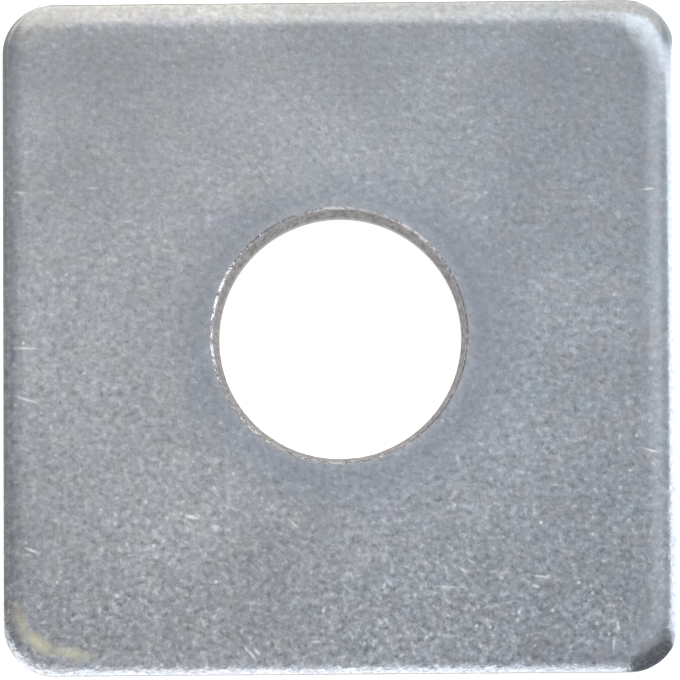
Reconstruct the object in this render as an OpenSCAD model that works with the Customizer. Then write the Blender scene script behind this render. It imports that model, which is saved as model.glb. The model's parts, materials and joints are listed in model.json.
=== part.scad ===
// Square plate washer, pierced and then blanked from steel plate.
// It lies on its burr face at z = 0 with the rolled-over outline up. The bore is on the Z axis.

/* [Plate] */
// Side of the square, measured over the burnished edges
plate_side = 50; // [40:0.5:70]
// Thickness of the plate
plate_t = 5; // [4.5:0.1:8]
// Radius of the corners in plan
corner_r = 3.7; // [3:0.1:10]

/* [Bore] */
// Diameter of the bore at its burnished land
bore_d = 18; // [9:0.5:26]

/* [Roll-over of the outline] */
// Run of the crown, where the face first bends down
edge_run = 1.05; // [0.6:0.05:1.4]
// Drop of the face over the crown
edge_drop = 0.15; // [0.05:0.01:0.25]
// Radius of the nose, from the crown to the burnished land
edge_nose_r = 1.4; // [0.6:0.1:1.7]

/* [Roll-over of the bore] */
// Run of the crown round the bore
rim_run = 0.35; // [0.2:0.05:0.8]
// Drop of the face over that crown
rim_drop = 0.05; // [0.02:0.01:0.15]
// Radius of the nose, from that crown to the bore's land
rim_nose_r = 1; // [0.4:0.1:1.6]

/* [Sheared wall] */
// Height of the torn band, from the burr side
tear_h = 2.2; // [0.8:0.1:2.6]
// Lean of the torn band behind the burnished land, at the burr side
tear_lean = 0.4; // [0.05:0.01:0.6]
// Radius of the tumbled edge at the burr side
burr_r = 0.25; // [0.05:0.05:0.5]

/* [Hidden] */
$fn = 96;

bore_r = bore_d / 2;
// Half the length of the straight stretch between two corners
half_straight = plate_side / 2 - corner_r;
// Slope of the torn band
lean_len = norm([tear_lean, tear_h]);
lean_sin = tear_lean / lean_len;
lean_cos = tear_h / lean_len;
// The tumbled edge leaves the burr face this far behind the foot of the torn band.
burr_back = burr_r * (1 - lean_sin) / lean_cos;
// The web ends outside the bore's roll-over and its torn band, and the bore's ring reaches into it.
web_hole_r = bore_r + max(rim_run + rim_nose_r, tear_lean + burr_r);
rim_w = web_hole_r - bore_r + rim_nose_r;

// Section through a sheared edge, from x = 0 inside the plate to its land at x = w.
// The face rolls over in two arcs that are tangent to each other, to the face and to the land.
// Below the land the torn band leans back to a small round at the burr side.
module sheared_section(w, run, drop, nose_r) {
    crown_r = (run * run + drop * drop) / (2 * drop);
    tilt_sin = run / crown_r;
    tilt_cos = 1 - drop / crown_r;
    // The roll-over leaves the face, changes radius and reaches the land at these points.
    knee = [w - nose_r * (1 - tilt_sin), plate_t - drop];
    start = [knee.x - run, plate_t];
    land = [w, knee.y - nose_r * tilt_cos];
    // The burr side's round leaves its face and reaches the torn band at these points.
    foot = [w - tear_lean, 0];
    burr_start = [foot.x - burr_back, 0];
    burr_end = [burr_start.x + burr_r * lean_cos, burr_r * (1 - lean_sin)];
    polygon([
        [0, 0],
        burr_start,
        burr_end,
        [w, tear_h],
        land,
        knee,
        start,
        [0, plate_t]
    ]);
    intersection() {
        translate([start.x, plate_t - crown_r]) circle(r = crown_r);
        polygon([start, knee, [knee.x, plate_t + nose_r], [start.x, plate_t + nose_r]]);
    }
    intersection() {
        translate([w - nose_r, land.y]) circle(r = nose_r);
        polygon([
            knee,
            land,
            [w + nose_r, land.y],
            [w + nose_r, plate_t + nose_r],
            [knee.x, plate_t + nose_r]
        ]);
    }
    intersection() {
        translate([burr_start.x, burr_r]) circle(r = burr_r);
        polygon([burr_start, foot, burr_end]);
    }
}

// The section along the outline, with the plate's side at x = corner_r.
module outline_section() {
    sheared_section(corner_r, edge_run, edge_drop, edge_nose_r);
}

// One quarter of the outline: a corner and the straight side that leads into it.
module outline_quarter() {
    translate([half_straight, half_straight, 0])
        rotate_extrude(angle = 90) outline_section();
    translate([half_straight, half_straight, 0])
        rotate([90, 0, 0])
            linear_extrude(height = 2 * half_straight) outline_section();
}

// The bore was pierced from the other side, so its section faces the axis upside down:
// it rolls over at the burr face, and its torn band opens up to the rolled-over face.
module bore_ring() {
    rotate_extrude()
        translate([bore_r + rim_w, plate_t])
            rotate(180) sheared_section(rim_w, rim_run, rim_drop, rim_nose_r);
}

// The flat web between the outline and the bore's ring
module web() {
    linear_extrude(height = plate_t)
        difference() {
            square(2 * half_straight, center = true);
            circle(r = web_hole_r);
        }
}

module washer() {
    color("#9fa3a9")
        union() {
            for (k = [0:3]) rotate([0, 0, 90 * k]) outline_quarter();
            web();
            bore_ring();
        }
}

washer();
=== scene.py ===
import json
import math

import bpy
from mathutils import Matrix, Vector


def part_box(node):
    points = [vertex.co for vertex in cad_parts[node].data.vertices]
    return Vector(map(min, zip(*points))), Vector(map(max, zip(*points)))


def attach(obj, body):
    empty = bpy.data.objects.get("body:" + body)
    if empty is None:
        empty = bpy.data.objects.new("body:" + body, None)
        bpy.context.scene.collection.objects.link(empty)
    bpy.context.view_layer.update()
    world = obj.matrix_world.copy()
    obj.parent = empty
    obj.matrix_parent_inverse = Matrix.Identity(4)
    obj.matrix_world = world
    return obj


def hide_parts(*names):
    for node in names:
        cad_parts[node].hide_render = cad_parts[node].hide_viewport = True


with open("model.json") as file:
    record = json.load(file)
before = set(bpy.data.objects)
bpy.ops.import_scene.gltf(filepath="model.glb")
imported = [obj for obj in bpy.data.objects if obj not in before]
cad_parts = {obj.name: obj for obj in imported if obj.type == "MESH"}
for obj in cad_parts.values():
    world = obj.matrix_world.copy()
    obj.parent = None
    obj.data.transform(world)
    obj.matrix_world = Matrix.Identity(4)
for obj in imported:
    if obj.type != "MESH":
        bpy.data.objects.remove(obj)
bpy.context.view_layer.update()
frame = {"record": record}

# The washer: one piece of mild steel plate, pierced with a round bore and then blanked to a square.
# Each cut rolls one face over and leaves a burnished land and a torn band; the bore's cut came from below.
# The part was tumbled, then zinc plated in a barrel with many others, which marked its face.
MM = 0.001
plate_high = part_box("washer")[1]
half_side, plate_t = plate_high.x, plate_high.z
bore_r = next(m for m in frame["record"]["mounts"] if m["name"] == "bore")["dims"]["r_mm"] * MM
corner_r = 3.7 * MM
edge_run, edge_drop, edge_nose_r = 1.05 * MM, 0.15 * MM, 1.4 * MM
rim_run, rim_drop, rim_nose_r = 0.35 * MM, 0.05 * MM, 1.0 * MM
tear_h, tear_lean, burr_break = 2.2 * MM, 0.4 * MM, 0.17 * MM
tear_waver, tear_pit = 0.5 * MM, 0.06 * MM
waver_size, pit_size = 3 * MM, 0.8 * MM
corner_growth, side_growth = 0.55, 0.18
around_count, corner_count = 720, 60
crown_steps, nose_steps, land_steps, torn_steps = 8, 16, 4, 11
face_steps, under_steps = 24, 8
crisp_angle = math.radians(25)


def spread(start, end, count):
    """Count numbers after start, evenly up to end."""
    return [start + (end - start) * (i + 1) / count for i in range(count)]


def sheared_edge(run, drop, nose_r):
    """Points (inset from the land, height) down a sheared edge, from the rolled-over face to the burr face."""
    crown_r = (run * run + drop * drop) / (2 * drop)
    tilt = math.asin(run / crown_r)
    reach = run + nose_r * (1 - math.sin(tilt))
    land_top = plate_t - drop - nose_r * math.cos(tilt)
    crown = [(reach - crown_r * math.sin(a), plate_t - crown_r * (1 - math.cos(a)))
             for a in [0, *spread(0, tilt, crown_steps)]]
    nose = [(nose_r * (1 - math.sin(a)), land_top + nose_r * math.cos(a))
            for a in spread(tilt, math.pi / 2, nose_steps)]
    land = [(0, z) for z in spread(land_top, tear_h, land_steps)]
    torn = [(tear_lean * (tear_h - z) / tear_h, z) for z in spread(tear_h, burr_break, torn_steps)]
    # The burr is peened to a bevel.
    foot = [(tear_lean + burr_break, 0)]
    return crown + nose + land + torn + foot


edge = sheared_edge(edge_run, edge_drop, edge_nose_r)
rim = sheared_edge(rim_run, rim_drop, rim_nose_r)
face_outer, face_inner = half_side - edge[0][0], bore_r + rim[0][0]
section = [(half_side - inset, z) for inset, z in reversed(edge)]
section += [(x, plate_t) for x in spread(face_outer, bore_r + rim[-1][0], face_steps)[:-1]]
section += [(bore_r + inset, plate_t - z) for inset, z in reversed(rim)]
section += [(x, 0) for x in spread(face_inner, half_side - edge[-1][0], under_steps)[:-1]]

section_curve = bpy.data.curves.new("washer_section", "CURVE")
section_line = section_curve.splines.new("POLY")
section_line.points.add(len(section) - 1)
section_line.points.foreach_set("co", [c for x, z in section for c in (x, z, 0, 1)])
section_line.use_cyclic_u = True
section_object = bpy.data.objects.new("washer_section", section_curve)
bpy.context.scene.collection.objects.link(section_object)


# Inputs go by name or by number. In Map Range, 1 and 2 are the ends of the range that is read, 3 and 4 those
# of the range that is given. In Mix, 0 is the share, 2 and 3 are numbers, 4 and 5 vectors, 6 and 7 colours.
def add(tree, kind, sockets=None, out=0, **settings):
    """Adds a node with its settings and inputs, given as values or links, and returns one of its outputs."""
    node = tree.nodes.new(kind)
    for name, value in settings.items():
        setattr(node, name, value)
    for key, value in (sockets or {}).items():
        if isinstance(value, bpy.types.NodeSocket):
            tree.links.new(value, node.inputs[key])
        else:
            node.inputs[key].default_value = value
    return node if out is None else node.outputs[out]


def linear(hex_colour, light=1.0):
    """An sRGB hex colour as linear RGBA, times an amount of light."""
    channels = [int(hex_colour[i:i + 2], 16) / 255 for i in (1, 3, 5)]
    return (*[light * (c / 12.92 if c <= 0.04045 else ((c + 0.055) / 1.055) ** 2.4) for c in channels], 1)


# Zinc electroplate on tumbled hot-rolled plate, clear blue passivated. It gives the eye a cool satin grey with
# a fine pitted grain, soft bright lines along the rolled-over edges, and a dull brownish torn band.
zinc = bpy.data.materials.new("zinc_plated_steel")
zinc.use_nodes = True
coat = zinc.node_tree
shader = coat.nodes["Principled BSDF"]
place = add(coat, "ShaderNodeTexCoord", out="Object")
across_x, along_y, height = add(coat, "ShaderNodeSeparateXYZ", {0: place}, out=None).outputs
in_plan = add(coat, "ShaderNodeCombineXYZ", {"X": across_x, "Y": along_y})
torn = add(coat, "ShaderNodeAttribute", out="Fac", attribute_name="torn")
land = add(coat, "ShaderNodeAttribute", out="Fac", attribute_name="land")
peened = add(coat, "ShaderNodeAttribute", out="Fac", attribute_name="peened")

# The passivation layer is neutral at the left and cooler at the right. It varies in patches of a few
# millimetres between grey, blue and a trace of violet. Shade is painted over it: the face is palest to the left
# of the bore and darkens away from there.
cloud_size, blue_size, violet_size = 9 * MM, 2.4 * MM, 1.8 * MM
violet_shift = (100 * MM, 50 * MM, 0)
painted_shade_middle = (-14 * MM, 4 * MM, 0)
clouds = add(coat, "ShaderNodeTexNoise", {"Vector": place, "Scale": 1 / cloud_size, "Detail": 1})
blue_patch = add(coat, "ShaderNodeTexNoise", {"Vector": place, "Scale": 1 / blue_size, "Detail": 2})
blue_patch = add(coat, "ShaderNodeMapRange", {"Value": blue_patch, 1: 0.35, 2: 0.65})
violet_place = add(coat, "ShaderNodeVectorMath", {0: place, 1: violet_shift}, operation="ADD")
violet_patch = add(coat, "ShaderNodeTexNoise", {"Vector": violet_place, "Scale": 1 / violet_size, "Detail": 2})
violet_patch = add(coat, "ShaderNodeMapRange", {"Value": violet_patch, 1: 0.35, 2: 0.65})
neutral = add(coat, "ShaderNodeMix",
              {0: blue_patch, 6: linear("#9b9ea2"), 7: linear("#999da6")}, 2, data_type="RGBA")
cooler = add(coat, "ShaderNodeMix",
             {0: violet_patch, 6: linear("#949da6"), 7: linear("#989ca5")}, 2, data_type="RGBA")
at_right = add(coat, "ShaderNodeMapRange", {"Value": across_x, 1: -8 * MM, 2: 14 * MM})
tone = add(coat, "ShaderNodeMix", {0: at_right, 6: neutral, 7: cooler}, 2, data_type="RGBA")
# Painted shade: the colour darkens with the distance from the palest point, times a little random clouding.
painted_shade_and_clouds = add(coat, "ShaderNodeVectorMath", {0: place, 1: painted_shade_middle}, "Value", operation="DISTANCE")
painted_shade_and_clouds = add(coat, "ShaderNodeMapRange", {"Value": painted_shade_and_clouds, 1: 18 * MM, 2: 42 * MM, 3: 1.0, 4: 0.77})
cloudy = add(coat, "ShaderNodeMapRange", {"Value": clouds, 1: 0.3, 2: 0.7, 3: 0.95, 4: 1.05})
painted_shade_and_clouds = add(coat, "ShaderNodeMath", {0: painted_shade_and_clouds, 1: cloudy}, operation="MULTIPLY")
tone = add(coat, "ShaderNodeVectorMath", {0: tone, "Scale": painted_shade_and_clouds}, operation="SCALE")

# A ring round the bore was pressed flat by the stripper plate, which stood a little off the middle. It is bluer
# than the rest of the face, and its innermost part is rubbed brighter.
stripper_middle = (0.8 * MM, -0.5 * MM, 0)
from_stripper = add(coat, "ShaderNodeVectorMath",
                    {0: in_plan, 1: stripper_middle}, "Value", operation="DISTANCE")
pressed = add(coat, "ShaderNodeMapRange", {"Value": from_stripper, 1: 13.8 * MM, 2: 9.9 * MM, 4: 0.9})
tone = add(coat, "ShaderNodeMix", {0: pressed, 6: tone, 7: linear("#898f9a")}, 2, data_type="RGBA")
from_axis = add(coat, "ShaderNodeVectorMath", {0: in_plan}, "Value", operation="LENGTH")
rubbed = add(coat, "ShaderNodeMapRange", {"Value": from_axis, 1: 10.3 * MM, 2: 9.5 * MM, 4: 0.65})
tone = add(coat, "ShaderNodeMix", {0: rubbed, 6: tone, 7: linear("#a0a4ab")}, 2, data_type="RGBA")

# The grain shows more towards the front and most along the front edge. It shows less in the pressed ring, on
# the crown of the right side and at the front right corner. Where it shows more, this is partly painted light:
# the stronger contrast stands in for facets catching the light and falling into shade. Each row says along
# what, from and to in mm, and the share of the grain before and after.
to_front_right = add(coat, "ShaderNodeMath", {0: across_x, 1: along_y}, operation="SUBTRACT")
grain_strength_changes = [
    (along_y, 20, -20, 0.62, 1.34),
    (along_y, -14, -20, 1.0, 1.2),
    (across_x, 21.5, 23.2, 1.0, 0.65),
    (to_front_right, 41, 44.5, 1.0, 0.6),
]
grain_strength = add(coat, "ShaderNodeMath", {0: pressed, 1: -0.45, 2: 1.0}, operation="MULTIPLY_ADD")
patchy_grain_strength = add(coat, "ShaderNodeMapRange", {"Value": clouds, 1: 0.35, 2: 0.65, 3: 0.85, 4: 1.1})
grain_strength = add(coat, "ShaderNodeMath", {0: grain_strength, 1: patchy_grain_strength}, operation="MULTIPLY")
for where, start, end, share_before, share_after in grain_strength_changes:
    change = add(coat, "ShaderNodeMapRange",
                 {"Value": where, 1: start * MM, 2: end * MM, 3: share_before, 4: share_after})
    grain_strength = add(coat, "ShaderNodeMath", {0: grain_strength, 1: change}, operation="MULTIPLY")

# The grain is a pitted noise over the facets of the steel's crystals. Its strongest pits and peaks stand out
# further than the rest, and clumps of it are a little lighter or darker.
grain_size, facet_size, clump_size = 0.5 * MM, 0.3 * MM, 1.5 * MM
grain_contrast = 1.33
grain = add(coat, "ShaderNodeTexNoise",
            {"Vector": place, "Scale": 1 / grain_size, "Detail": 2, "Roughness": 0.6})
grain = add(coat, "ShaderNodeMapRange", {"Value": grain, 1: 0.25, 2: 0.75, 3: -0.8, 4: 0.8})
facets = add(coat, "ShaderNodeTexVoronoi", {"Vector": place, "Scale": 1 / facet_size}, "Color")
facets = add(coat, "ShaderNodeSeparateColor", {0: facets}, "Red")
facets = add(coat, "ShaderNodeMapRange", {"Value": facets, 3: -0.4, 4: 0.4})
grain = add(coat, "ShaderNodeMath", {0: grain, 1: facets}, operation="ADD")
clumps = add(coat, "ShaderNodeTexNoise", {"Vector": place, "Scale": 1 / clump_size, "Detail": 2})
clumps = add(coat, "ShaderNodeMapRange", {"Value": clumps, 1: 0.3, 2: 0.7, 3: -0.15, 4: 0.15})
spikes = add(coat, "ShaderNodeMath", {0: grain}, operation="ABSOLUTE")
spikes = add(coat, "ShaderNodeMath", {0: spikes, 1: 0.5, 2: 0.76}, operation="MULTIPLY_ADD")
grain = add(coat, "ShaderNodeMath", {0: grain, 1: spikes, 2: clumps}, operation="MULTIPLY_ADD")
# Partly painted light and shade: the grain's strength scales how far its lightness swings.
grain = add(coat, "ShaderNodeMath", {0: grain, 1: grain_strength}, operation="MULTIPLY")
lightness = add(coat, "ShaderNodeMath", {0: grain_contrast, 1: grain}, operation="POWER")
tone = add(coat, "ShaderNodeVectorMath", {0: tone, "Scale": lightness}, operation="SCALE")

# Sparse bright specks painted into the colour: painted glints, where a facet of the grain would catch the light
painted_glint_spacing = 1.1 * MM
painted_glint_cells = add(coat, "ShaderNodeTexVoronoi", {"Vector": place, "Scale": 1 / painted_glint_spacing}, out=None).outputs
painted_glint = add(coat, "ShaderNodeMapRange", {"Value": painted_glint_cells["Distance"], 1: 0.18, 2: 0.04})
painted_glint_pick = add(coat, "ShaderNodeSeparateColor", {0: painted_glint_cells["Color"]}, "Red")
painted_glint_pick = add(coat, "ShaderNodeMapRange", {"Value": painted_glint_pick, 1: 0.4, 2: 1.0, 4: 0.4})
painted_glint = add(coat, "ShaderNodeMath", {0: painted_glint, 1: painted_glint_pick}, operation="MULTIPLY")
painted_glint = add(coat, "ShaderNodeMath", {0: painted_glint, 1: grain_strength}, operation="MULTIPLY", use_clamp=True)
tone = add(coat, "ShaderNodeMix", {0: painted_glint, 6: tone, 7: linear("#e6e9ee")}, 2, data_type="RGBA")

# Marks on the rolled-over face, in mm: place of the middle, length, direction in degrees, width, and strength.
# The barrel left bare bright scratches and dots and one dark scratch. A broad band along the back edge is
# darker.
# The passivation bath left a pale yellow stain along the crown of the front left corner.
bright_marks = [
    (-22.8, -15.8, 1.6, -20, 0.34, 0.7), (-23.6, 10.8, 1.4, -8, 0.28, 0.5), (-18.2, 11.1, 1.0, 0, 0.24, 0.4),
    (-15.6, 8.6, 1.0, 8, 0.26, 0.4), (-23.2, -4.6, 2.2, -17, 0.28, 0.6), (-23.3, -0.8, 2.2, -2, 0.30, 0.6),
    (-11.0, -13.4, 1.4, -12, 0.36, 0.9), (-3.4, -14.0, 1.3, -40, 0.28, 0.5), (-1.8, -22.7, 1.1, 0, 0.26, 0.5),
    (9.1, -17.5, 0.9, -32, 0.30, 0.6), (7.9, -18.7, 1.9, -3, 0.24, 0.4), (14.8, -18.0, 1.6, -9, 0.28, 0.6),
    (14.4, -18.7, 0.8, -12, 0.32, 0.7), (20.4, -21.7, 0.9, -86, 0.28, 0.5), (20.1, -23.0, 1.3, 86, 0.26, 0.5),
    (17.3, -8.0, 1.1, 0, 0.24, 0.3), (22.9, -8.7, 1.8, -16, 0.26, 0.4), (22.9, 10.7, 1.1, 5, 0.28, 0.5),
    (-6.6, -23.6, 1.3, -52, 0.34, 0.7), (-6.2, -23.4, 1.0, -50, 0.30, 0.7), (-7.0, -23.2, 0.8, -55, 0.26, 0.6),
    (-15.5, -16.2, 0.9, 4, 0.26, 0.3), (9.6, -16.8, 1.2, -35, 0.24, 0.4), (-15.8, -15.4, 0.4, 20, 0.34, 0.4),
    (-23.4, -0.4, 0.34, 0, 0.34, 0.7), (-18.9, -2.7, 0.32, 0, 0.32, 0.6), (-21.0, -3.2, 0.3, 0, 0.30, 0.5),
    (-24.0, -5.0, 0.32, 0, 0.32, 0.6), (-22.1, -5.6, 0.3, 0, 0.28, 0.5), (-20.2, 4.7, 0.3, 0, 0.30, 0.5),
    (-1.3, -20.4, 0.34, 0, 0.34, 0.7), (-9.2, -18.2, 0.4, 0, 0.36, 0.8), (-13.8, -15.5, 0.4, 0, 0.34, 0.7),
    (14.8, -14.0, 0.34, 0, 0.36, 0.8), (10.0, -21.6, 0.34, 0, 0.34, 0.6), (11.0, -21.7, 0.34, 0, 0.34, 0.6),
    (21.4, -10.2, 0.34, 0, 0.34, 0.6), (15.6, -20.5, 0.34, 0, 0.34, 0.7),
]
dark_marks = [
    # The first row is the dark scratch. The second is the broad band along the back edge, which is only darker.
    (-14.5, -20.3, 1.4, -88, 0.20, 0.4), (-13.0, 20.9, 30, 2, 7.6, 0.22),
]
stain = [
    (-23.6, -21.2, 3.8, 110, 1.4, 0.55), (-22.4, -22.6, 3.6, -34, 1.5, 0.85),
    (-20.0, -23.4, 4.6, -12, 1.3, 0.55),
]
mark_depth = 2 * MM
for marks, colour in ((stain, "#c4c2aa"), (dark_marks, "#5f6267"), (bright_marks, "#dfe2e7")):
    marked = 0.0
    for x, y, length, direction, width, strength in marks:
        spot = add(coat, "ShaderNodeMapping",
                   {"Vector": place, "Location": (x * MM, y * MM, plate_t),
                    "Rotation": (0, 0, math.radians(direction)),
                    "Scale": (length / 2 * MM, width / 2 * MM, mark_depth)}, vector_type="TEXTURE")
        stroke = add(coat, "ShaderNodeTexGradient", {"Vector": spot}, "Fac", gradient_type="SPHERICAL")
        stroke = add(coat, "ShaderNodeMapRange", {"Value": stroke, 1: 0.0, 2: 0.8, 4: strength})
        marked = add(coat, "ShaderNodeMath", {0: marked, 1: stroke}, operation="MAXIMUM")
    tone = add(coat, "ShaderNodeMix", {0: marked, 6: tone, 7: linear(colour)}, 2, data_type="RGBA")

# Zinc throws badly onto the torn band, which stays brownish and mottled, and thinly onto the burnished land,
# which shows the streaks that the die drew down it. The peened bevel is pale and bright.
streak_size = (0.15 * MM, 0.15 * MM, 4 * MM)
mottle_size = (0.35 * MM, 0.35 * MM, 1.0 * MM)
streak_place = add(coat, "ShaderNodeMapping", {"Vector": place, "Scale": streak_size}, vector_type="TEXTURE")
streaks = add(coat, "ShaderNodeTexNoise", {"Vector": streak_place, "Scale": 1, "Detail": 2})
streaks = add(coat, "ShaderNodeMapRange", {"Value": streaks, 1: 0.3, 2: 0.7})
drawn = add(coat, "ShaderNodeMix",
            {0: streaks, 6: linear("#84868a"), 7: linear("#a9acb1")}, 2, data_type="RGBA")
mottle_place = add(coat, "ShaderNodeMapping", {"Vector": place, "Scale": mottle_size}, vector_type="TEXTURE")
mottle = add(coat, "ShaderNodeTexNoise", {"Vector": mottle_place, "Scale": 1, "Detail": 3})
mottle = add(coat, "ShaderNodeMapRange", {"Value": mottle, 1: 0.3, 2: 0.7})
brownish = add(coat, "ShaderNodeMix",
               {0: mottle, 6: linear("#767272"), 7: linear("#a19fa1")}, 2, data_type="RGBA")
tone = add(coat, "ShaderNodeMix", {0: land, 6: tone, 7: drawn}, 2, data_type="RGBA")
tone = add(coat, "ShaderNodeMix", {0: torn, 6: tone, 7: brownish}, 2, data_type="RGBA")
tone = add(coat, "ShaderNodeMix", {0: peened, 6: tone, 7: linear("#aaacb0")}, 2, data_type="RGBA")
coat.links.new(tone, shader.inputs["Base Color"])
shader.inputs["Metallic"].default_value = 1

# The face is satin, in soft patches. The nose and the bevel are a little glossier, the torn band is dull.
roughness = add(coat, "ShaderNodeMapRange", {"Value": clouds, 1: 0.3, 2: 0.7, 3: 0.27, 4: 0.33})
at_nose = add(coat, "ShaderNodeMapRange", {"Value": height, 1: plate_t - 0.1 * MM, 2: plate_t - 0.4 * MM})
for where, rough in ((at_nose, 0.26), (torn, 0.65), (peened, 0.22)):
    roughness = add(coat, "ShaderNodeMix", {0: where, 2: roughness, 3: rough})
coat.links.new(roughness, shader.inputs["Roughness"])

# Relief in mm: the dents of the bevel, the streaks of the land, and the grain, which is rougher on the nose
# towards the front edge.
dent_size, dent_depth, streak_depth, grain_depth, front_depth = 0.45 * MM, 0.07, 0.01, 0.007, 0.016
dents = add(coat, "ShaderNodeTexNoise", {"Vector": place, "Scale": 1 / dent_size, "Detail": 2})
dents = add(coat, "ShaderNodeMath", {0: dents, 1: peened}, operation="MULTIPLY")
dents = add(coat, "ShaderNodeMath", {0: dents, 1: dent_depth}, operation="MULTIPLY")
drag = add(coat, "ShaderNodeMath", {0: streaks, 1: land}, operation="MULTIPLY")
dents = add(coat, "ShaderNodeMath", {0: drag, 1: streak_depth, 2: dents}, operation="MULTIPLY_ADD")
at_front = add(coat, "ShaderNodeMapRange", {"Value": along_y, 1: -5 * MM, 2: -24 * MM, 4: front_depth})
grain_height = add(coat, "ShaderNodeMath", {0: at_nose, 1: at_front, 2: grain_depth}, operation="MULTIPLY_ADD")
relief = add(coat, "ShaderNodeMath", {0: grain, 1: grain_height, 2: dents}, operation="MULTIPLY_ADD")
relief = add(coat, "ShaderNodeBump", {"Height": relief, "Strength": 1, "Distance": MM})
coat.links.new(relief, shader.inputs["Normal"])

# The section above is carried round: the outline's part keeps its distance to the rounded square,
# the bore's part keeps its radius, and the faces are drawn straight from one to the other.
plate_tree = bpy.data.node_groups.new("sheared_plate", "GeometryNodeTree")
plate_sizes = {
    "Section": ("NodeSocketObject", section_object),
    "Side": ("NodeSocketFloat", 2 * half_side),
    "Thickness": ("NodeSocketFloat", plate_t),
    "Corner radius": ("NodeSocketFloat", corner_r),
    "Face outer reach": ("NodeSocketFloat", face_outer),
    "Face inner radius": ("NodeSocketFloat", face_inner),
    "Corner roll-over growth": ("NodeSocketFloat", corner_growth),
    "Right side roll-over growth": ("NodeSocketFloat", side_growth),
    "Stations round the outline": ("NodeSocketInt", around_count),
    "Burr bevel height": ("NodeSocketFloat", burr_break),
    "Torn band height": ("NodeSocketFloat", tear_h),
    "Torn band waver": ("NodeSocketFloat", tear_waver),
    "Torn band pit depth": ("NodeSocketFloat", tear_pit),
    "Material": ("NodeSocketMaterial", zinc),
}
for name, (kind, value) in plate_sizes.items():
    plate_tree.interface.new_socket(name, in_out="INPUT", socket_type=kind)
plate_tree.interface.new_socket("Geometry", in_out="OUTPUT", socket_type="NodeSocketGeometry")
size = add(plate_tree, "NodeGroupInput", out=None).outputs
square = add(plate_tree, "GeometryNodeCurvePrimitiveQuadrilateral",
             {"Width": size["Side"], "Height": size["Side"]})
rounded = add(plate_tree, "GeometryNodeFilletCurve",
              {"Curve": square, "Radius": size["Corner radius"], "Count": corner_count}, mode="POLY")
stations = add(plate_tree, "GeometryNodeResampleCurve",
               {"Curve": rounded, "Count": size["Stations round the outline"]}, mode="COUNT")
position = add(plate_tree, "GeometryNodeInputPosition")
outline = add(plate_tree, "GeometryNodeCaptureAttribute", {"Geometry": stations}, out=None)
outline.capture_items.new("VECTOR", "Place")
outline.capture_items.new("VECTOR", "Direction")
plate_tree.links.new(position, outline.inputs["Place"])
plate_tree.links.new(add(plate_tree, "GeometryNodeInputTangent"), outline.inputs["Direction"])
section_info = add(plate_tree, "GeometryNodeObjectInfo", {"Object": size["Section"]}, "Geometry")
profile = add(plate_tree, "GeometryNodeCaptureAttribute", {"Geometry": section_info}, out=None)
profile.capture_items.new("VECTOR", "Place")
plate_tree.links.new(position, profile.inputs["Place"])
swept = add(plate_tree, "GeometryNodeCurveToMesh",
            {"Curve": outline.outputs["Geometry"], "Profile Curve": profile.outputs["Geometry"]})
swept = add(plate_tree, "GeometryNodeFlipFaces", {"Mesh": swept})
section_x, section_z, _ = add(plate_tree, "ShaderNodeSeparateXYZ",
                              {0: profile.outputs["Place"]}, out=None).outputs
outward = add(plate_tree, "ShaderNodeVectorMath",
              {0: outline.outputs["Direction"], 1: (0, 0, 1)}, operation="CROSS_PRODUCT")
outward = add(plate_tree, "ShaderNodeVectorMath", {0: outward}, operation="NORMALIZE")
radial = add(plate_tree, "ShaderNodeVectorMath", {0: outline.outputs["Place"]}, operation="NORMALIZE")
edge_x = add(plate_tree, "ShaderNodeMath", {0: section_x, 1: size["Face outer reach"]}, operation="MAXIMUM")
half = add(plate_tree, "ShaderNodeMath", {0: size["Side"], 1: 0.5}, operation="MULTIPLY")
behind = add(plate_tree, "ShaderNodeMath", {0: edge_x, 1: half}, operation="SUBTRACT")

# A blanked corner rolls over further than a straight side, and the roll-over grows on the way into it.
# The punch stood a little off the middle of its die, so the right side rolls over further than the left.
# It starts at this share of the way from a side's middle to the corner's arc.
growth_start = 0.9
side_place = add(plate_tree, "ShaderNodeVectorMath", {0: outline.outputs["Place"]}, operation="ABSOLUTE")
side_x, side_y, _ = add(plate_tree, "ShaderNodeSeparateXYZ", {0: side_place}, out=None).outputs
toward_corner = add(plate_tree, "ShaderNodeMath", {0: side_x, 1: side_y}, operation="MINIMUM")
straight_end = add(plate_tree, "ShaderNodeMath", {0: half, 1: size["Corner radius"]}, operation="SUBTRACT")
grow_from = add(plate_tree, "ShaderNodeMath", {0: straight_end, 1: growth_start}, operation="MULTIPLY")
grow_to = add(plate_tree, "ShaderNodeMath",
              {0: size["Corner radius"], 1: math.sqrt(0.5), 2: straight_end}, operation="MULTIPLY_ADD")
growth = add(plate_tree, "ShaderNodeMapRange",
             {"Value": toward_corner, 1: grow_from, 2: grow_to, 4: size["Corner roll-over growth"]},
             interpolation_type="SMOOTHSTEP")
to_right, _, _ = add(plate_tree, "ShaderNodeSeparateXYZ", {0: outward}, out=None).outputs
growth = add(plate_tree, "ShaderNodeMath",
             {0: to_right, 1: size["Right side roll-over growth"], 2: growth}, operation="MULTIPLY_ADD")
behind = add(plate_tree, "ShaderNodeMath", {0: behind, 1: growth, 2: behind}, operation="MULTIPLY_ADD")
edge_step = add(plate_tree, "ShaderNodeVectorMath", {0: outward, "Scale": behind}, operation="SCALE")
at_edge = add(plate_tree, "ShaderNodeVectorMath", {0: outline.outputs["Place"], 1: edge_step}, operation="ADD")
rim_x = add(plate_tree, "ShaderNodeMath", {0: section_x, 1: size["Face inner radius"]}, operation="MINIMUM")
at_rim = add(plate_tree, "ShaderNodeVectorMath", {0: radial, "Scale": rim_x}, operation="SCALE")
across = add(plate_tree, "ShaderNodeMapRange",
             {"Value": section_x, 1: size["Face inner radius"], 2: size["Face outer reach"]})
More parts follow.
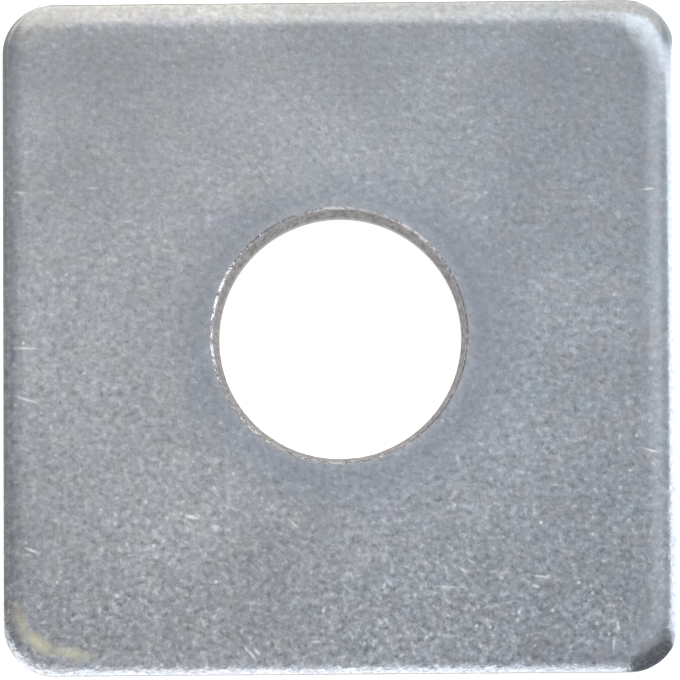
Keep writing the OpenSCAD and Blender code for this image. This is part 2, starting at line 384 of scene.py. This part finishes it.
drawn_flat = add(plate_tree, "ShaderNodeMix", {0: across, 4: at_rim, 5: at_edge}, 1, data_type="VECTOR")
lift = add(plate_tree, "ShaderNodeCombineXYZ", {"Z": section_z})
placed = add(plate_tree, "ShaderNodeVectorMath", {0: drawn_flat, 1: lift}, operation="ADD")
plate_mesh = add(plate_tree, "GeometryNodeSetPosition", {"Geometry": swept, "Position": placed})

# The torn band ends in a wavering line below the burnished land, and is full of pits and ridges.
# In the bore the land is nearly as dull as the torn band, because little zinc got in there.
line_blur = 0.1 * MM
bevel_end, torn_start = 0.15 * MM, 0.3 * MM
land_end, nose_start = 3.3 * MM, 3.8 * MM
bore_land_dullness = 0.75
foot_gap = 0.02 * MM
below_top = add(plate_tree, "ShaderNodeMath", {0: size["Thickness"], 1: section_z}, operation="SUBTRACT")
at_outline = add(plate_tree, "ShaderNodeMath", {0: across, 1: 0.5}, operation="GREATER_THAN")
from_burr = add(plate_tree, "ShaderNodeMix", {0: at_outline, 2: below_top, 3: section_z})
waver = add(plate_tree, "ShaderNodeTexNoise", {"Vector": position, "Scale": 1 / waver_size, "Detail": 3})
waver = add(plate_tree, "ShaderNodeMath", {0: waver, 1: 0.5}, operation="SUBTRACT")
waver = add(plate_tree, "ShaderNodeMath", {0: waver, 1: size["Torn band waver"]}, operation="MULTIPLY")
line = add(plate_tree, "ShaderNodeMath", {0: waver, 1: size["Torn band height"]}, operation="ADD")
over_line = add(plate_tree, "ShaderNodeMath", {0: from_burr, 1: line}, operation="SUBTRACT")
torn_above = add(plate_tree, "ShaderNodeMapRange", {"Value": over_line, 1: line_blur, 2: -line_blur})
torn_below = add(plate_tree, "ShaderNodeMapRange", {"Value": from_burr, 1: bevel_end, 2: torn_start})
is_torn = add(plate_tree, "ShaderNodeMath", {0: torn_above, 1: torn_below}, operation="MULTIPLY")
land_below = add(plate_tree, "ShaderNodeMapRange", {"Value": over_line, 1: -line_blur, 2: line_blur})
land_above = add(plate_tree, "ShaderNodeMapRange", {"Value": from_burr, 1: nose_start, 2: land_end})
is_land = add(plate_tree, "ShaderNodeMath", {0: land_below, 1: land_above}, operation="MULTIPLY")
land_in_bore = add(plate_tree, "ShaderNodeMix", {0: at_outline, 2: is_land})
is_land = add(plate_tree, "ShaderNodeMath", {0: is_land, 1: at_outline}, operation="MULTIPLY")
is_torn = add(plate_tree, "ShaderNodeMath",
              {0: land_in_bore, 1: bore_land_dullness, 2: is_torn}, operation="MULTIPLY_ADD")
pits = add(plate_tree, "ShaderNodeTexNoise",
           {"Vector": position, "Scale": 1 / pit_size, "Detail": 3, "Roughness": 0.6})
pits = add(plate_tree, "ShaderNodeMapRange", {"Value": pits, 1: 0.3, 2: 0.7, 3: -1.0, 4: 0.0})
pitted_below = add(plate_tree, "ShaderNodeMapRange", {"Value": from_burr, 2: size["Burr bevel height"]})
is_pitted = add(plate_tree, "ShaderNodeMath", {0: torn_above, 1: pitted_below}, operation="MULTIPLY")
pits = add(plate_tree, "ShaderNodeMath", {0: pits, 1: is_pitted}, operation="MULTIPLY")
pits = add(plate_tree, "ShaderNodeMath", {0: pits, 1: size["Torn band pit depth"]}, operation="MULTIPLY")
facing = add(plate_tree, "GeometryNodeInputNormal")
pitted = add(plate_tree, "ShaderNodeVectorMath", {0: facing, "Scale": pits}, operation="SCALE")
over_foot = add(plate_tree, "ShaderNodeMath", {0: from_burr, 1: foot_gap}, operation="GREATER_THAN")
under_band = add(plate_tree, "ShaderNodeMath",
                 {0: from_burr, 1: size["Burr bevel height"]}, operation="LESS_THAN")
is_peened = add(plate_tree, "ShaderNodeMath", {0: over_foot, 1: under_band}, operation="MULTIPLY")
bands = [("torn", is_torn, "POINT"), ("land", is_land, "POINT"), ("peened", is_peened, "FACE")]
for name, value, domain in bands:
    plate_mesh = add(plate_tree, "GeometryNodeStoreNamedAttribute",
                     {"Geometry": plate_mesh, "Name": name, "Value": value}, data_type="FLOAT", domain=domain)
plate_mesh = add(plate_tree, "GeometryNodeSetPosition", {"Geometry": plate_mesh, "Offset": pitted})
plate_mesh = add(plate_tree, "GeometryNodeSetShadeSmooth", {"Geometry": plate_mesh})
bend = add(plate_tree, "GeometryNodeInputMeshEdgeAngle", out="Unsigned Angle")
crisp = add(plate_tree, "ShaderNodeMath", {0: bend, 1: crisp_angle}, operation="GREATER_THAN")
plate_mesh = add(plate_tree, "GeometryNodeSetShadeSmooth",
                 {"Geometry": plate_mesh, "Selection": crisp, "Shade Smooth": False}, domain="EDGE")
plate_mesh = add(plate_tree, "GeometryNodeRealizeInstances", {"Geometry": plate_mesh})
plate_mesh = add(plate_tree, "GeometryNodeSetMaterial", {"Geometry": plate_mesh, "Material": size["Material"]})
add(plate_tree, "NodeGroupOutput", {"Geometry": plate_mesh}, out=None)

washer = bpy.data.objects.new("plate_washer", bpy.data.meshes.new("plate_washer"))
bpy.context.scene.collection.objects.link(washer)
sweep = washer.modifiers.new("sheared_plate", "NODES")
sweep.node_group = plate_tree
for socket in plate_tree.interface.items_tree:
    if socket.in_out == "INPUT":
        sweep[socket.identifier] = plate_sizes[socket.name][1]
made = bpy.data.meshes.new_from_object(washer.evaluated_get(bpy.context.evaluated_depsgraph_get()))
washer.modifiers.remove(sweep)
washer.data = made
bpy.data.objects.remove(section_object)
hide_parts("washer")
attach(washer, "root")

# The floor: a plain sheet of matt white paper, which shows white but keeps the washer's shadow.
# It lies a hair under the burr face, so that the two faces don't coincide, and it is see-through from below,
# so that the underside can be looked at.
floor_half, floor_z = 3.0, -0.02 * MM
paper_glow = 0.6
floor_mesh = bpy.data.meshes.new("white_floor")
floor_mesh.from_pydata([(x, y, floor_z) for x, y in ((-1, -1), (1, -1), (1, 1), (-1, 1))], [], [(0, 1, 2, 3)])
floor_mesh.transform(Matrix.Diagonal((floor_half, floor_half, 1, 1)))
floor = bpy.data.objects.new("white_floor", floor_mesh)
bpy.context.scene.collection.objects.link(floor)
paper = bpy.data.materials.new("white_paper")
paper.use_nodes = True
sheet = paper.node_tree
sheet.nodes.clear()
ray = add(sheet, "ShaderNodeLightPath", out=None).outputs
seen = add(sheet, "ShaderNodeMath", {0: ray["Is Camera Ray"], 1: ray["Is Glossy Ray"]}, operation="MAXIMUM")
seen = add(sheet, "ShaderNodeMath", {0: seen, 1: ray["Is Transmission Ray"]}, operation="MAXIMUM")
dull = add(sheet, "ShaderNodeBsdfDiffuse", {"Color": linear("#e6e6e6")})
glow = add(sheet, "ShaderNodeMath", {0: seen, 1: paper_glow}, operation="MULTIPLY")
white = add(sheet, "ShaderNodeEmission", {"Strength": glow})
both = add(sheet, "ShaderNodeAddShader", {0: dull, 1: white})
under = add(sheet, "ShaderNodeNewGeometry", out="Backfacing")
clear = add(sheet, "ShaderNodeBsdfTransparent")
both = add(sheet, "ShaderNodeMixShader", {0: under, 1: both, 2: clear})
add(sheet, "ShaderNodeOutputMaterial", {"Surface": both}, out=None)
floor_mesh.materials.append(paper)

# Reflector cards of white board lie round the washer and show only in the metal. Two dim strips lie close along
# the back and the front edge: they are painted shadow, standing in for the shade on the floor next to the
# washer as the metal reflects it. One card stands upright at the right, and two dim ones rise at the front
# right.
# Each has its corners in mm, its colour and its light.
cards = [
    ("back_flag", [(-22, 24.8, 0.1), (23, 24.8, 0.1), (23, 28.5, 0.1), (-22, 28.5, 0.1)], "#ffffff", 0.4),
    ("front_flag", [(23, -24.8, 0.1), (-23, -24.8, 0.1), (-23, -25.7, 0.1), (23, -25.7, 0.1)], "#ffffff", 0.5),
    ("back_card", [(-45, 28.5, 0.1), (34, 28.5, 0.1), (60, 160, 0.1), (-80, 160, 0.1)], "#fff7ea", 2.2),
    ("right_card", [(26.5, 23, 0.1), (26.5, -23.8, 0.1), (60, -31, 0.1), (60, 25, 0.1)], "#ffffff", 4.2),
    ("right_stand", [(60, -30, 0), (60, -30, 24), (60, -8, 21), (60, 2, 18.5), (60, 10, 17), (60, 24, 20),
                     (60, 30, 65), (60, 75, 110), (60, 75, 55), (60, 35, 31), (60, 30, 15), (60, 26, 0)],
     "#ffffff", 3.7),
    ("front_card", [(20.8, -26.5, 0.1), (-60, -26.5, 0.1), (-220, -160, 1), (45, -160, 1)], "#ffffff", 2.9),
    ("left_card", [(-26.5, -20, 0.1), (-26.5, 40, 0.1), (-160, 60, 0.1), (-160, -60, 0.1)], "#ffffff", 0.58),
    ("front_right_card", [(26, -24, 0.1), (21, -26.5, 0.1), (27, -45, 26), (46, -30, 26)], "#ffffff", 0.35),
    ("front_right_veil", [(46, -30, 26), (27, -45, 26), (28, -60, 50), (58, -32, 50)], "#ffffff", 0.62),
]
for name, corners, colour, light in cards:
    card_mesh = bpy.data.meshes.new(name)
    card_mesh.from_pydata([Vector(corner) * MM for corner in corners], [], [range(len(corners))])
    card = bpy.data.objects.new(name, card_mesh)
    bpy.context.scene.collection.objects.link(card)
    board = bpy.data.materials.new("lit_white_board")
    board.use_nodes = True
    board.node_tree.nodes.clear()
    shine = add(board.node_tree, "ShaderNodeEmission", {"Color": linear(colour), "Strength": light})
    add(board.node_tree, "ShaderNodeOutputMaterial", {"Surface": shine}, out=None)
    card_mesh.materials.append(board)
    card.visible_camera = card.visible_diffuse = card.visible_shadow = False

# The light: a soft white tent all round, with a warm softbox behind, lamps at the back right and in front,
# a dim flag at the left and a dim opening for the camera. Each patch is a direction (azimuth from +X and
# elevation), its inner and outer radius, all in degrees, its colour and its light.
patches = [
    ("left flag", 180, 10, 20, 80, "#ffffff", 0.67),
    ("front", -90, 40, 25, 50, "#ffffff", 1.15),
    ("back softbox", 84, 20, 43, 50, "#fff7ea", 2.15),
    ("right", 10, 75, 6, 22, "#ffffff", 1.42),
    ("back right lamp", 56, 57, 8, 18, "#fffdf8", 4.2),
    ("front left lamp", -135, 0, 8, 20, "#ffffff", 2.2),
    ("front lamp", -90, 14, 3, 11, "#ffffff", 2.0),
    ("camera opening", 110, 85, 9, 17, "#ffffff", 0.89),
]
world = bpy.data.worlds.new("studio")
world.use_nodes = True
bpy.context.scene.world = world
sky = world.node_tree
sky.nodes.clear()
toward = add(sky, "ShaderNodeTexCoord", out="Generated")
tent = linear("#ffffff")
for name, azimuth, elevation, inner, outer, colour, light in patches:
    a, e = math.radians(azimuth), math.radians(elevation)
    aim = (math.cos(a) * math.cos(e), math.sin(a) * math.cos(e), math.sin(e))
    near = add(sky, "ShaderNodeVectorMath", {0: toward, 1: aim}, "Value", operation="DOT_PRODUCT", label=name)
    share = add(sky, "ShaderNodeMapRange",
                {"Value": near, 1: math.cos(math.radians(outer)), 2: math.cos(math.radians(inner))},
                interpolation_type="SMOOTHSTEP")
    tent = add(sky, "ShaderNodeMix", {0: share, 6: tent, 7: linear(colour, light)}, 2, data_type="RGBA")
tent = add(sky, "ShaderNodeBackground", {"Color": tent, "Strength": 1.0})
add(sky, "ShaderNodeOutputWorld", {"Surface": tent}, out=None)

# The camera: above the washer, a little towards its front and right, turned a third of a degree.
# Its frame is a square, just wider than the plate.
camera_away = 0.6
lean_front, lean_right, turn = math.radians(5.3), math.radians(1.2), math.radians(0.35)
frame_pixels, pixels_per_mm = 680, 13.46
frame_width = frame_pixels / pixels_per_mm * MM
aim_at = Vector((0.0, -0.13 * MM, plate_t / 2))
back = Vector((math.tan(lean_right), -math.tan(lean_front), 1)).normalized()
right = Vector((math.sin(turn), math.cos(turn), 0)).cross(back).normalized()
up = back.cross(right)
camera = bpy.data.objects.new("camera", bpy.data.cameras.new("camera"))
camera.data.sensor_width = 36
camera.data.lens = camera.data.sensor_width * camera_away / frame_width
camera.data.clip_start, camera.data.clip_end = 0.01, 20
camera.matrix_world = Matrix((right, up, back)).transposed().to_4x4()
camera.location = aim_at + back * camera_away
bpy.context.scene.collection.objects.link(camera)
bpy.context.scene.camera = camera
bpy.context.scene.view_settings.view_transform = "Standard"
